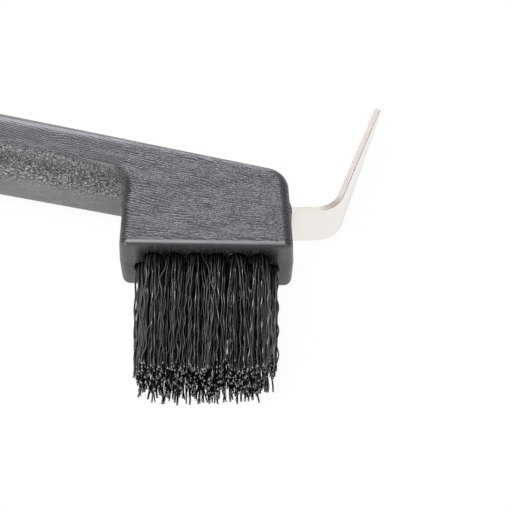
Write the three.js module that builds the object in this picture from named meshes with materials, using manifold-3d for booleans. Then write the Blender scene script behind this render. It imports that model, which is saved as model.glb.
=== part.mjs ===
// Hoof pick with brush: a moulded handle and head in one piece, a bent steel pick moulded into the end
// of the head, and three staggered rows of crimped bristle tufts, each held in its drilled hole by a
// flat metal anchor. It lies on its flat back. X runs along the brush bed towards the pick, Y points
// from the bristle tips to the top edge of the handle, and Z is up, out of the front of the head.
import * as THREE from 'three';
import { mergeGeometries, mergeVertices } from 'three/addons/utils/BufferGeometryUtils.js';
import Module from 'manifold-3d';

const wasm = await Module();
wasm.setup();
const degrees = Math.PI / 180;

// Fits, in millimetres like every length here
const castGap = 0.3; // between the moulding and the metal or bristle set in it
const rootGap = 0.2; // between a tuft's folded root and its drilled hole

// Head
const thickness = 19.5; // flat back to flat front, for the head and for the top of the handle
const headLength = 44; // along the brush bed
const noseHeight = 24.15; // bed to top edge at the pick end
const noseDraft = 4 * degrees; // lean of the end wall that the pick comes out of
const heelDraft = 1 * degrees; // lean of the end wall under the handle
const partingDraft = 2 * degrees; // lean of the end walls from the parting line, half way up, to both faces
const headTopSlope = 14.25 * degrees;
const bedCornerRadius = 1.8;
const noseCornerRadius = 6.5;
const restHeight = 13; // bed to the point of the back face that is the part's origin

// Handle
const handleLength = 103; // from the head's end wall to the butt
const handleRootHeight = 18; // beside the head
const handleButtHeight = 21.4;
const handleTopSlope = 14.9 * degrees;
const palmRun = 31; // length of the flatter stretch of the top edge next to the butt
const palmSlope = 8.5 * degrees;
const palmRadius = 70;
const browRadius = 150; // where the handle's top edge meets the head's
const buttRadius = 8.4;
const throatRadius = 1.8; // concave corner between the handle's underside and the head

// Rounding of the edges round the flat front and back
const bedEdge = 1.5;
const wallEdge = 2.4;
const noseEdge = 2.5; // along the top edge, from the pick end
const browEdge = 4; // to where the handle begins
const palmEdge = 8.5; // and on along the handle
const gripEdge = 6;
const edgeSteps = 3;
const arcStep = 14 * degrees;

// Finger grooves, one on each side of the handle, under a flush strip along its top edge. From the top
// down, a groove has a round shoulder, a steep side, a hollow, a sloping lobe and the turn under the handle.
const shoulderRadius = 3.2;
const steepAngle = 50 * degrees; // lean of the steep side
const steepRun = 1.7;
const hollowRadius = 2;
const lobeAngle = 35 * degrees;
const lobeHeight = 2.6;
const undersideRound = 4.2;
const grooveSkirt = 0.6; // how far the groove's cut goes on below the handle
const grooveWallRun = 3.4; // along X, from full depth up to the head's face
const grooveCornerRun = 3.2; // how much earlier the wall begins at the shoulder
const grooveFadeRun = 34; // along X, where the groove runs out towards the butt
const buttLand = 20; // length of the butt that the groove leaves whole
const cutLift = 0.06; // how far a cutting tool starts above the face that it cuts

// Hanging hole through the butt
const hangHoleDiameter = 8;
const hangHoleInset = 11.5; // from the end of the butt
const hangHoleChamfer = 1.2;

// Pick: a steel strip with a tang inside the head, a bend and a tapered blade
const pickWidth = 13.4;
const pickThickness = 1.6;
const pickTipWidth = 3.6;
const pickHeight = 12.5; // bed to the strip's underside, where it leaves the head
const tangLength = 25; // inside the head
const tangSlope = 3.5 * degrees;
const tangCornerRun = 2; // chamfer at the two inner corners of the tang
const tangHoleDiameter = 4.4; // the moulding flows through these and locks the tang
const tangHolePitch = 9;
const tangHoleInset = 7; // from the tang's inner end to its first hole
const pickReach = 7.6; // from the head to the start of the bend
const bendRadius = 5.5; // inside the bend
const bladeAngle = 72 * degrees; // blade against the brush bed
const bladeLength = 35;
const collarMargin = 0.6; // moulded lip round the strip where it leaves the head
const collarProud = 0.5;
const collarDepth = 3;
const collarCorner = 0.9;

// Brush
const tuftPitch = 5.4; // along a row
const rowSpacing = 4.6;
const rowsSetBack = 1.2; // the rows stand this much nearer the back of the head
const bedRimEnds = 2.5; // bed left whole beyond the bristle rows, at the two ends of the head
const bedRimSides = 1.5; // and at the two sides, at least
const holeDiameter = 4.5;
const holeDepth = 7.5;
const sliceThickness = 2; // slice of the bed that carries one row of tufts
const strandRings = 2; // rings of strands round the one in a tuft's middle
const strandSpacing = 0.9; // in the hole
const strandRadius = 0.27;
const strandLength = 34.5;
const strandTrim = 2.6; // spread of the cut lengths
const strandSteps = 2;
const tuftSpread = 1.15; // a tuft's width at the tips against its width in the hole
const brushSpread = 0.02; // outward lean of a tuft per millimetre from the middle of the bed
const tuftBow = 0.35; // sideways bow of a tuft half way down
const anchorWidth = 5.2;
const anchorHeight = 1.9;
const anchorThickness = 0.4;
const anchorDepth = 4.3; // bed to the anchor's outer edge
const anchorAngle = 35 * degrees; // the anchors stand across the rows at this angle

// Solids

// A closed solid for joining and cutting, from a geometry whose surface is closed.
function solid(geometry) {
  const bare = geometry.clone();
  bare.deleteAttribute('normal');
  bare.deleteAttribute('uv');
  const merged = mergeVertices(bare, 1e-4);
  const vertProperties = new Float32Array(merged.attributes.position.array);
  const triVerts = new Uint32Array(merged.index.array);
  return new wasm.Manifold(new wasm.Mesh({ numProp: 3, vertProperties, triVerts }));
}

function geometryOf(body) {
  const mesh = body.getMesh();
  const geometry = new THREE.BufferGeometry();
  geometry.setAttribute('position', new THREE.BufferAttribute(mesh.vertProperties, 3));
  geometry.setIndex(new THREE.BufferAttribute(mesh.triVerts, 1));
  geometry.computeVertexNormals();
  return geometry;
}

// Triangles that close one end of a loft, by its ring's own plane.
function capOf(ring) {
  const normal = new THREE.Vector3();
  ring.forEach((point, i) => normal.add(point.clone().cross(ring[(i + 1) % ring.length])));
  const across = ring[1].clone().sub(ring[0]).normalize();
  const up = normal.normalize().clone().cross(across);
  const flat = ring.map((point) => new THREE.Vector2(point.dot(across), point.dot(up)));
  return THREE.ShapeUtils.triangulateShape(flat, []);
}

// Six times the volume inside a triangle list, negative where its faces point inwards.
function signedVolume(points, index) {
  let sum = 0;
  for (let i = 0; i < index.length; i += 3) {
    const [a, b, c] = [points[index[i]], points[index[i + 1]], points[index[i + 2]]];
    sum += a.dot(b.clone().cross(c));
  }
  return sum;
}

// A closed skin over rings that have the same number of points, one ring after another.
function loft(rings) {
  const count = rings[0].length;
  const points = rings.flat();
  const index = [];
  for (let r = 0; r + 1 < rings.length; r += 1) {
    for (let i = 0; i < count; i += 1) {
      const next = (i + 1) % count;
      const [a, b] = [r * count + i, r * count + next];
      index.push(a, b, b + count, a, b + count, a + count);
    }
  }
  const last = (rings.length - 1) * count;
  capOf(rings[0]).forEach(([a, b, c]) => index.push(c, b, a));
  capOf(rings[rings.length - 1]).forEach(([a, b, c]) => index.push(last + a, last + b, last + c));
  if (signedVolume(points, index) < 0) index.reverse();
  return new THREE.BufferGeometry().setFromPoints(points).setIndex(index);
}

const smooth = (low, high, value) => THREE.MathUtils.smoothstep(value, low, high);

// Outline of the moulding, seen on its flat front

const heelX = -headLength / 2;
const heelAt = (y) => heelX + y * Math.tan(heelDraft);
const noseAt = (y) => headLength / 2 - y * Math.tan(noseDraft);
const brow = new THREE.Vector2(heelX, noseHeight + (noseAt(noseHeight) - heelX) * Math.tan(headTopSlope));
const buttX = heelX - handleLength;
const palmX = buttX + palmRun;

// Top edge and underside of the handle at a place along it.
function topAt(x) {
  const rise = (brow.x - Math.max(x, palmX)) * Math.tan(handleTopSlope);
  return brow.y + rise + Math.max(palmX - x, 0) * Math.tan(palmSlope);
}
const throat = new THREE.Vector2(heelAt(brow.y - handleRootHeight), brow.y - handleRootHeight);
const heelOfHand = new THREE.Vector2(
  buttX + handleButtHeight * Math.tan(palmSlope),
  topAt(buttX) - handleButtHeight,
);
const underAt = (x) => THREE.MathUtils.mapLinear(x, throat.x, heelOfHand.x, throat.y, heelOfHand.y);

// Corners of the outline in turn, each with its radius and with the rounding of the edge after it, which
// can change from its start to its end.
const corners = [
  { x: heelX, y: 0, radius: bedCornerRadius, edge: bedEdge },
  { x: headLength / 2, y: 0, radius: bedCornerRadius, edge: wallEdge },
  { x: noseAt(noseHeight), y: noseHeight, radius: noseCornerRadius, edge: noseEdge, edgeEnd: browEdge },
  { x: brow.x, y: brow.y, radius: browRadius, edge: browEdge, edgeEnd: palmEdge },
  { x: palmX, y: topAt(palmX), radius: palmRadius, edge: palmEdge },
  { x: buttX, y: topAt(buttX), radius: buttRadius, edge: gripEdge },
  { x: heelOfHand.x, y: heelOfHand.y, radius: buttRadius, edge: gripEdge },
  { x: throat.x, y: throat.y, radius: throatRadius, edge: wallEdge },
];

// The outline's points, with an arc in place of each corner. A point knows its outward direction and
// the rounding of the edge there, which passes from one edge's to the next along the arc.
function roundedOutline() {
  return corners.flatMap((corner, i) => {
    const before = corners[(i + corners.length - 1) % corners.length];
    const after = corners[(i + 1) % corners.length];
    const arrive = new THREE.Vector2(corner.x - before.x, corner.y - before.y).normalize();
    const leave = new THREE.Vector2(after.x - corner.x, after.y - corner.y).normalize();
    const turn = Math.atan2(arrive.cross(leave), arrive.dot(leave));
    const tangent = corner.radius * Math.tan(Math.abs(turn) / 2);
    const side = Math.sign(turn);
    const start = new THREE.Vector2(corner.x, corner.y).addScaledVector(arrive, -tangent);
    const outwardAtStart = new THREE.Vector2(arrive.y, -arrive.x);
    const centre = start.clone().addScaledVector(outwardAtStart, -side * corner.radius);
    const steps = Math.max(2, Math.ceil(Math.abs(turn) / arcStep));
    const edgeBefore = before.edgeEnd ?? before.edge;
    return Array.from({ length: steps + 1 }, (_, k) => {
      const outward = outwardAtStart.clone().rotateAround(new THREE.Vector2(), (turn * k) / steps);
      const point = centre.clone().addScaledVector(outward, side * corner.radius);
      return { point, outward, edge: THREE.MathUtils.lerp(edgeBefore, corner.edge, k / steps) };
    });
  });
}

// The outline raised to the moulding's thickness, with its edges rounded by each point's own radius. The
// end walls lean out to the parting line, half way up.
function roundedSlab() {
  const outline = roundedOutline();
  const half = thickness / 2;
  const ringAt = (angle, fromFront) =>
    outline.map(({ point, outward, edge }) => {
      const depth = edge * (1 - Math.sin(angle));
      const draft = depth * Math.tan(partingDraft) * Math.abs(outward.x);
      const at = point.clone().addScaledVector(outward, draft - edge * (1 - Math.cos(angle)));
      return new THREE.Vector3(at.x, at.y, fromFront ? thickness - depth : depth);
    });
  const partingRing = outline.map(({ point, outward }) => {
    const at = point.clone().addScaledVector(outward, half * Math.tan(partingDraft) * Math.abs(outward.x));
    return new THREE.Vector3(at.x, at.y, half);
  });
  const angles = Array.from({ length: edgeSteps + 1 }, (_, k) => (1 - k / edgeSteps) * 90 * degrees);
  const backRings = angles.map((angle) => ringAt(angle, false));
  const frontRings = angles.map((angle) => ringAt(angle, true)).reverse();
  return solid(loft([...backRings, partingRing, ...frontRings]));
}

// Section of a finger groove on a handle of that height, as places with their distance below the top
// edge and their depth under the flat side.
function grooveSection(height) {
  const section = [{ below: 0, depth: -cutLift }];
  const go = (below, depth) => {
    const last = section[section.length - 1];
    section.push({ below: last.below + below, depth: last.depth + depth });
  };
  const turn = (radius, from, to, steps) => {
    for (let k = 0; k < steps; k += 1) {
      const a = THREE.MathUtils.lerp(from, to, k / steps);
      const b = THREE.MathUtils.lerp(from, to, (k + 1) / steps);
      go(radius * Math.abs(Math.sin(b) - Math.sin(a)), radius * Math.abs(Math.cos(b) - Math.cos(a)));
    }
  };
  turn(shoulderRadius, 0, steepAngle, 4);
  go(steepRun * Math.cos(steepAngle), steepRun * Math.sin(steepAngle));
  turn(hollowRadius, steepAngle, lobeAngle, 2);
  go(lobeHeight, lobeHeight * Math.tan(lobeAngle));
  turn(undersideRound, lobeAngle, 90 * degrees, edgeSteps);
  const start = height - section[section.length - 1].below;
  go(grooveSkirt, 0);
  return section.map(({ below, depth }) => ({ below: below + start, depth }));
}

// The tool that cuts one finger groove: full depth along the grip, a rounded wall at the head, and a
// long run out at the butt.
function grooveTool(onFront) {
  const wallStart = heelX + wallEdge;
  const fadeEnd = buttX + buttLand;
  const wallRun = grooveWallRun + grooveCornerRun;
  const shareAt = (x, down) => {
    const wall = wallStart - grooveCornerRun * (1 - smooth(0, 1, down));
    return smooth(fadeEnd, fadeEnd + grooveFadeRun, x) * (1 - smooth(wall - grooveWallRun, wall, x));
  };
  const wallSteps = 9;
  const fadeSteps = 9;
  const stations = [];
  for (let k = 0; k <= wallSteps; k += 1) stations.push(wallStart - (wallRun * k) / wallSteps);
  for (let k = fadeSteps; k >= 0; k -= 1) stations.push(fadeEnd + (grooveFadeRun * k) / fadeSteps);
  const rings = stations.map((x) => {
    const section = grooveSection(topAt(x) - underAt(x));
    const top = section[0].below;
    const bottom = section[section.length - 1].below;
    const clear = -2 * cutLift;
    const ring = section.map(({ below, depth }) => {
      const share = shareAt(x, (below - top) / (shoulderRadius + lobeHeight));
      return { below, depth: share * (depth + cutLift) - cutLift };
    });
    ring.push({ below: bottom, depth: clear }, { below: top, depth: clear });
    return ring.map(
      ({ below, depth }) => new THREE.Vector3(x, topAt(x) - below, onFront ? thickness - depth : depth),
    );
  });
  return solid(loft(rings));
}

// The hole that the tool hangs by, with a chamfered mouth on both sides.
function hangHoleTool() {
  const radius = hangHoleDiameter / 2;
  const wide = radius + hangHoleChamfer + cutLift;
  const profile = [
    new THREE.Vector2(0, -cutLift),
    new THREE.Vector2(wide, -cutLift),
    new THREE.Vector2(radius, hangHoleChamfer),
    new THREE.Vector2(radius, thickness - hangHoleChamfer),
    new THREE.Vector2(wide, thickness + cutLift),
    new THREE.Vector2(0, thickness + cutLift),
  ];
  const x = buttX + hangHoleInset;
  const drill = new THREE.LatheGeometry(profile, 20).rotateX(90 * degrees);
  drill.translate(x, (topAt(x) + underAt(x)) / 2, 0);
  return solid(drill);
}

// Pick

// Middle line of the strip from the tang's inner end to the tip, as places with their direction, the
// strip's width and how far they lie along it.
function pickStations(grow) {
  const exitX = noseAt(pickHeight);
  const tangStart = -tangLength - grow;
  const stations = [];
  const place = (x, y, direction, width) => stations.push({ x, y, direction, width: width + 2 * grow });
  const half = pickThickness / 2;
  const along = (run) => ({
    x: exitX + run * Math.cos(tangSlope) - half * Math.sin(tangSlope),
    y: pickHeight + run * Math.sin(tangSlope) + half * Math.cos(tangSlope),
  });
  const straight = (run, width) => place(along(run).x, along(run).y, tangSlope, width);
  straight(tangStart, pickWidth - 2 * tangCornerRun);
  straight(tangStart + tangCornerRun, pickWidth);
  straight(pickReach, pickWidth);
  const bendStart = along(pickReach);
  const middleRadius = bendRadius + half;
  const centre = {
    x: bendStart.x - middleRadius * Math.sin(tangSlope),
    y: bendStart.y + middleRadius * Math.cos(tangSlope),
  };
  const bendSteps = 8;
  for (let k = 1; k <= bendSteps; k += 1) {
    const direction = THREE.MathUtils.lerp(tangSlope, bladeAngle, k / bendSteps);
    const x = centre.x + middleRadius * Math.sin(direction);
    const y = centre.y - middleRadius * Math.cos(direction);
    place(x, y, direction, pickWidth);
  }
  const bend = stations[stations.length - 1];
  const blade = (run, width) =>
    place(bend.x + run * Math.cos(bladeAngle), bend.y + run * Math.sin(bladeAngle), bladeAngle, width);
  const tipRadius = pickTipWidth / 2;
  const tipSteps = 5;
  for (let k = 0; k <= tipSteps; k += 1) {
    const angle = (k / tipSteps) * 80 * degrees;
    blade(bladeLength - tipRadius * (1 - Math.sin(angle)), pickTipWidth * Math.cos(angle));
  }
  return { stations, along };
}

// The strip as a solid. A positive grow makes it larger all over, for the seat that it leaves in the head.
function pickSolid(grow = 0) {
  const { stations, along } = pickStations(grow);
  const half = pickThickness / 2 + grow;
  const middle = thickness / 2;
  const rings = stations.map(({ x, y, direction, width }) => {
    const up = new THREE.Vector2(-Math.sin(direction), Math.cos(direction)).multiplyScalar(half);
    return [
      new THREE.Vector3(x - up.x, y - up.y, middle - width / 2),
      new THREE.Vector3(x - up.x, y - up.y, middle + width / 2),
      new THREE.Vector3(x + up.x, y + up.y, middle + width / 2),
      new THREE.Vector3(x + up.x, y + up.y, middle - width / 2),
    ];
  });
  let strip = solid(loft(rings));
  for (let run = -tangLength + tangHoleInset; run < -tangHoleInset; run += tangHolePitch) {
    const drill = new THREE.CylinderGeometry(
      tangHoleDiameter / 2 - grow,
      tangHoleDiameter / 2 - grow,
      4 * pickThickness,
      16,
    );
    drill.rotateZ(tangSlope).translate(along(run).x, along(run).y, middle);
    strip = strip.subtract(solid(drill));
  }
  return strip;
}

// Seat that the tang leaves in the head and its collar: the grown strip, without the bend and blade.
function tangSeat() {
  const reach = tangLength + 2 * collarProud + collarDepth;
  const window = new THREE.BoxGeometry(reach, noseHeight, thickness);
  window.translate(noseAt(pickHeight) + collarDepth - reach / 2, pickHeight, thickness / 2);
  return pickSolid(castGap).intersect(solid(window));
}

// Lip that stands round the strip where it comes out of the end wall.
function collarSolid() {
  const width = pickWidth + 2 * collarMargin;
  const height = pickThickness + 2 * collarMargin;
  const shape = new THREE.Shape();
  shape.moveTo(-width / 2 + collarCorner, -height / 2);
  const rounds = [
    [width / 2 - collarCorner, -height / 2 + collarCorner, -90],
    [width / 2 - collarCorner, height / 2 - collarCorner, 0],
    [-width / 2 + collarCorner, height / 2 - collarCorner, 90],
    [-width / 2 + collarCorner, -height / 2 + collarCorner, 180],
  ];
  rounds.forEach(([x, y, from]) =>
    shape.absarc(x, y, collarCorner, from * degrees, (from + 90) * degrees, false),
  );
  const lip = new THREE.ExtrudeGeometry(shape, {
    depth: collarDepth + collarProud,
    bevelEnabled: false,
    curveSegments: 4,
  });
  lip.rotateY(90 * degrees).translate(-collarDepth, 0, 0).rotateZ(noseDraft);
  lip.translate(noseAt(pickHeight), pickHeight + pickThickness / 2, thickness / 2);
  return solid(lip);
}

// Brush

const rowsMiddle = thickness / 2 - rowsSetBack;
const rowCount = 1 + Math.floor((2 * (rowsMiddle - bedRimSides) - holeDiameter) / rowSpacing);
const bedLength = headLength - 2 * bedRimEnds;
const longRow = 1 + Math.floor((bedLength - holeDiameter) / tuftPitch);

// Places of the tufts of one row. Every other row is half a pitch across, with one tuft less.
function tuftsOfRow(row) {
  const middleRow = (rowCount - 1) / 2;
  const z = rowsMiddle + (row - middleRow) * rowSpacing;
  const long = Math.floor(middleRow) % 2 === row % 2;
  const count = long ? longRow : longRow - 1;
  return Array.from({ length: count }, (_, k) => ({ x: (k - (count - 1) / 2) * tuftPitch, z }));
}
const rows = Array.from({ length: rowCount }, (_, row) => tuftsOfRow(row));

// A flat anchor's blank, or a slot for one, standing across the rows at its angle.
function anchorBlank(width, height, depth) {
  return new THREE.BoxGeometry(width, height, depth).rotateY(anchorAngle);
}

// Drilled hole for one tuft, with the two grooves that the anchor cuts as it is driven in.
function tuftHoleTool({ x, z }) {
  const drill = new THREE.CylinderGeometry(holeDiameter / 2, holeDiameter / 2, holeDepth, 14);
  const slotHeight = anchorDepth + anchorHeight + castGap;
  const slot = anchorBlank(anchorWidth + 2 * castGap, slotHeight, anchorThickness + 2 * castGap);
  drill.translate(x, holeDepth / 2, z);
  slot.translate(x, slotHeight / 2, z);
  return solid(drill).add(solid(slot));
}

// Recess that the slices of the bed fill, from its open face up to the drilled holes.
function bedRecess() {
  const width = rowCount * rowSpacing + castGap;
  const deep = sliceThickness + castGap + cutLift;
  const recess = new THREE.BoxGeometry(bedLength + 2 * castGap, deep, width);
  recess.translate(0, deep / 2 - cutLift, rowsMiddle);
  return solid(recess);
}

// A repeatable number between -1 and 1 for each seed, so that the strands differ but never change.
function vary(seed) {
  const wave = Math.sin(seed * 12.9898) * 43758.5453;
  return 2 * (wave - Math.floor(wave)) - 1;
}

// One strand: a three-sided stem from inside the slice to its cut end, bowed with its tuft.
function strandGeometry(tuft, offset, seed) {
  const length = strandLength + (strandTrim / 2) * vary(seed);
  const lean = new THREE.Vector2(tuft.x, tuft.z - rowsMiddle).multiplyScalar(brushSpread);
  const bow = tuftBow * vary(tuft.x + 7 * tuft.z);
  const rings = Array.from({ length: strandSteps + 1 }, (_, k) => {
    const share = k / strandSteps;
    const spread = THREE.MathUtils.lerp(1, tuftSpread, share);
    const arch = bow * Math.sin(share * 180 * degrees);
    const y = THREE.MathUtils.lerp(sliceThickness / 2, -length, share);
    const x = tuft.x + offset.x * spread + lean.x * share + arch;
    const z = tuft.z + offset.y * spread + lean.y * share;
    return [0, 1, 2].map((corner) => {
      const angle = corner * 120 * degrees + seed;
      return new THREE.Vector3(x + strandRadius * Math.cos(angle), y, z + strandRadius * Math.sin(angle));
    });
  });
  return loft(rings);
}

// Strands of one tuft, packed in rings of six, twelve and so on round the middle one.
function tuftStrands(tuft, tuftSeed) {
  const offsets = [new THREE.Vector2(0, 0)];
  for (let ring = 1; ring <= strandRings; ring += 1) {
    for (let k = 0; k < 6 * ring; k += 1) {
      const angle = (k / (6 * ring)) * 360 * degrees;
      offsets.push(new THREE.Vector2(Math.cos(angle), Math.sin(angle)).multiplyScalar(ring * strandSpacing));
    }
  }
  return offsets.map((offset, k) => strandGeometry(tuft, offset, tuftSeed + k));
}

// Folded root of one tuft in its hole, with the window that its anchor passes through.
function tuftRoot({ x, z }) {
  const radius = holeDiameter / 2 - rootGap;
  const top = holeDepth - castGap;
  const bottom = sliceThickness / 2;
  const root = new THREE.CylinderGeometry(radius, radius, top - bottom, 12);
  const window = anchorBlank(holeDiameter, anchorHeight + 2 * rootGap, anchorThickness + 2 * rootGap);
  root.translate(x, (top + bottom) / 2, z);
  window.translate(x, anchorDepth + anchorHeight / 2, z);
  return solid(root).subtract(solid(window));
}

// One row of tufts on the slice of the bed that they stand in.
function bristleRow(tufts, row) {
  const width = rowSpacing - castGap;
  const slice = new THREE.BoxGeometry(bedLength, sliceThickness, width);
  slice.translate(0, sliceThickness / 2, tufts[0].z);
  const seedStep = 100;
  const strands = tufts.flatMap((tuft, k) => tuftStrands(tuft, (row * longRow + k) * seedStep));
  const roots = tufts.map(tuftRoot).reduce((all, root) => all.add(root));
  return solid(slice).add(roots).add(solid(mergeGeometries(strands)));
}

// Moulding: the rounded slab, cut for the fingers, the hanging hole, the tufts and the tang.
function mouldingSolid() {
  const holes = rows.flat().map(tuftHoleTool).reduce((all, hole) => all.add(hole));
  return roundedSlab()
    .subtract(grooveTool(true))
    .subtract(grooveTool(false))
    .subtract(hangHoleTool())
    .add(collarSolid())
    .subtract(tangSeat())
    .subtract(bedRecess().add(holes));
}

// Finishes
const mouldedPlastic = new THREE.MeshStandardMaterial({ color: 0x3b3b3f, roughness: 0.62, metalness: 0 });
const platedSteel = new THREE.MeshStandardMaterial({ color: 0xd9d6d2, roughness: 0.25, metalness: 1 });
const blackBristle = new THREE.MeshStandardMaterial({ color: 0x17171a, roughness: 0.45, metalness: 0 });
const anchorBrass = new THREE.MeshStandardMaterial({ color: 0xb8954f, roughness: 0.4, metalness: 1 });

// Assembly
const hoofPick = new THREE.Group();
const tool = new THREE.Group();
tool.position.y = -restHeight;
hoofPick.add(tool);

function addPiece(name, geometry, material) {
  const mesh = new THREE.Mesh(geometry, material);
  mesh.name = name;
  tool.add(mesh);
  return mesh;
}

addPiece('handle_body', geometryOf(mouldingSolid()), mouldedPlastic);
addPiece('pick_blade', geometryOf(pickSolid()), platedSteel);
rows.forEach((tufts, row) => {
  addPiece(`bristle_row_${row + 1}`, geometryOf(bristleRow(tufts, row)), blackBristle);
  tufts.forEach(({ x, z }, k) => {
    const blank = anchorBlank(anchorWidth, anchorHeight, anchorThickness);
    const anchor = addPiece(`tuft_anchor_${row + 1}_${k + 1}`, blank, anchorBrass);
    anchor.position.set(x, anchorDepth + anchorHeight / 2, z);
  });
});

export default hoofPick;
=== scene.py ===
# %% [markdown]
# Hoof pick with brush. The real tool is one dark grey moulding, handle and brush head together, with a
# plated steel pick cast into the end of the head and tufts of black crimped filament set in its bed.
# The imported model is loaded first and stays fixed: every piece below is made in the same frame, in
# metres, and takes the place of one of its solids.

# %% Load the frame
import math

import bmesh
import bpy
import numpy as np
from mathutils import Matrix, Vector


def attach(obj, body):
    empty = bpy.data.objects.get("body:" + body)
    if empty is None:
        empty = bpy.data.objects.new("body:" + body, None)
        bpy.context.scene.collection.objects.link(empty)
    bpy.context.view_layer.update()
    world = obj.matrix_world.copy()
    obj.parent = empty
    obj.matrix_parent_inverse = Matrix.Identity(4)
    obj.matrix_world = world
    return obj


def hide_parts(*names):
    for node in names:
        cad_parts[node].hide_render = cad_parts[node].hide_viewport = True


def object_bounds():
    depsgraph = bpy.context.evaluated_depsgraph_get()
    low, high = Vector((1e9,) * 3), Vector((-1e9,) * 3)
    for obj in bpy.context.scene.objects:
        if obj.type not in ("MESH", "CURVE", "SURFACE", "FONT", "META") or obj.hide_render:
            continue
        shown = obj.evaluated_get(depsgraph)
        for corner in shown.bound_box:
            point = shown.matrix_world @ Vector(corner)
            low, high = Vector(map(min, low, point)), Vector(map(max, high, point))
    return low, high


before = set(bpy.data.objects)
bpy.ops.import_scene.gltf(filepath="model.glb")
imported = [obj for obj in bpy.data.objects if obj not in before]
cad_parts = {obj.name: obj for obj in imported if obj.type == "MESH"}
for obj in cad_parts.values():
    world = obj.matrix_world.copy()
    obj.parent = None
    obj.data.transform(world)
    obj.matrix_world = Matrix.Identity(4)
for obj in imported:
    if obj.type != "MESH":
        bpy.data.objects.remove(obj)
cad_low, cad_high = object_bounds()
print("frame:", len(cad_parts), "nodes, box", [round(v * 1000, 1) for v in cad_high - cad_low], "mm")

# %% [markdown]
# Sizes are easier to read in millimetres counted from the brush bed, as a maker would measure the tool.
# One helper turns such points into metres in the frame, whose origin lies on the back of the head.
# Another makes soft steps, for shapes and textures that begin gradually.

# %% Units and the bed
MM = 0.001
REST_HEIGHT = 13.0
THICKNESS = 19.5
MIDDLE = THICKNESS / 2


def to_frame(points):
    """Points in millimetres from the brush bed, as an array in metres in the model's frame."""
    array = np.asarray(points, dtype=float).reshape(-1, 3).copy()
    array[:, 1] -= REST_HEIGHT
    return array * MM


def smooth(low, high, value):
    """A soft step from 0 at low to 1 at high."""
    share = np.clip((value - low) / (high - low), 0, 1)
    return share * share * (3 - 2 * share)


print("bed at y =", to_frame([(0, 0, 0)])[0][1], "m")

# %% [markdown]
# The camera looks down at the tool as it lies on its back, square to the brush bed and 56 degrees above
# the table. A long lens keeps the sides of the head nearly parallel, and the small roll is the tilt
# with which the picture was taken.

# %% Camera
VIEW_ELEVATION = math.radians(56)
VIEW_ROLL = math.radians(0.85)
VIEW_DISTANCE = 0.450
AIM_POINT = Vector(to_frame([(12.58, -3.35, THICKNESS)])[0])
FOCAL_PIXELS = 1800
IMAGE_PIXELS = 512
SENSOR_WIDTH = 36
NEAREST = 0.01

backward = Vector((0, -math.cos(VIEW_ELEVATION), math.sin(VIEW_ELEVATION)))
level_right = Vector((1, 0, 0))
level_up = backward.cross(level_right)
right = math.cos(VIEW_ROLL) * level_right + math.sin(VIEW_ROLL) * level_up
up = backward.cross(right)

camera_data = bpy.data.cameras.new("camera")
camera_data.sensor_width = SENSOR_WIDTH
camera_data.lens = FOCAL_PIXELS / IMAGE_PIXELS * SENSOR_WIDTH
camera_data.clip_start = NEAREST
camera = bpy.data.objects.new("camera", camera_data)
bpy.context.scene.collection.objects.link(camera)
turn = Matrix((right, up, backward)).transposed().to_4x4()
camera.matrix_world = Matrix.Translation(AIM_POINT + backward * VIEW_DISTANCE) @ turn
bpy.context.scene.camera = camera
bpy.context.scene.view_settings.view_transform = "Standard"
place = [round(v, 3) for v in camera.matrix_world.translation]
print("camera at", place, "lens", round(camera_data.lens, 1))

# %% [markdown]
# Node materials are long to write by hand, so a few helpers keep each finish short. The first ones make
# an empty material, add a node with its settings and join two sockets. In the others a source is a pair
# of a node and the name of its output, which makes it easy to pass one result on to the next node.

# %% Material helpers


def new_finish(name):
    """An empty node material, as (material, node tree)."""
    material = bpy.data.materials.new(name)
    material.use_nodes = True
    material.node_tree.nodes.clear()
    return material, material.node_tree


def add_node(tree, kind, settings=None, values=None):
    """A node of that kind, with its properties and the constant values of its sockets."""
    node = tree.nodes.new(kind)
    for key, value in (settings or {}).items():
        setattr(node, key, value)
    for key, value in (values or {}).items():
        node.inputs[key].default_value = value
    return node


def join(tree, source, output, target, socket):
    """Links one node's output to another's input."""
    tree.links.new(source.outputs[output], target.inputs[socket])


def add_surface(tree, values):
    """A Principled shader with constant values, joined to the material's output."""
    shader = add_node(tree, "ShaderNodeBsdfPrincipled", values=values)
    join(tree, shader, "BSDF", add_node(tree, "ShaderNodeOutputMaterial"), "Surface")
    return shader


def math_node(tree, operation, *sources):
    """A math node on sources that are each a (node, output) pair or a number."""
    node = add_node(tree, "ShaderNodeMath", {"operation": operation})
    for socket, source in enumerate(sources):
        if isinstance(source, tuple):
            join(tree, *source, node, socket)
        else:
            node.inputs[socket].default_value = source
    return node, "Value"


def spread(tree, source, low, high, to_low=0.0, to_high=1.0):
    """A value mapped from one range to another."""
    node = add_node(tree, "ShaderNodeMapRange", values={1: low, 2: high, 3: to_low, 4: to_high})
    join(tree, *source, node, "Value")
    return node, "Result"


def stored(tree, name):
    """A number stored on the mesh."""
    return add_node(tree, "ShaderNodeAttribute", {"attribute_name": name}), "Fac"


print("material helpers ready")

# %% [markdown]
# Noise gives a surface its irregular look, and mixing turns numbers into colours. A noise can be
# stretched, so that it runs along the grain, and the colours are mixed from plain written values.

# %% Noise and colour helpers


def object_place(tree):
    """The place of a point in metres in the frame."""
    return add_node(tree, "ShaderNodeTexCoord"), "Object"


def noise(tree, place, stretch, **values):
    """A noise over stretched coordinates."""
    scaled = add_node(tree, "ShaderNodeVectorMath", {"operation": "MULTIPLY"}, {1: stretch})
    join(tree, *place, scaled, 0)
    made = add_node(tree, "ShaderNodeTexNoise", values={"Scale": 1.0, **values})
    join(tree, scaled, "Vector", made, "Vector")
    return made, "Fac"


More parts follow.
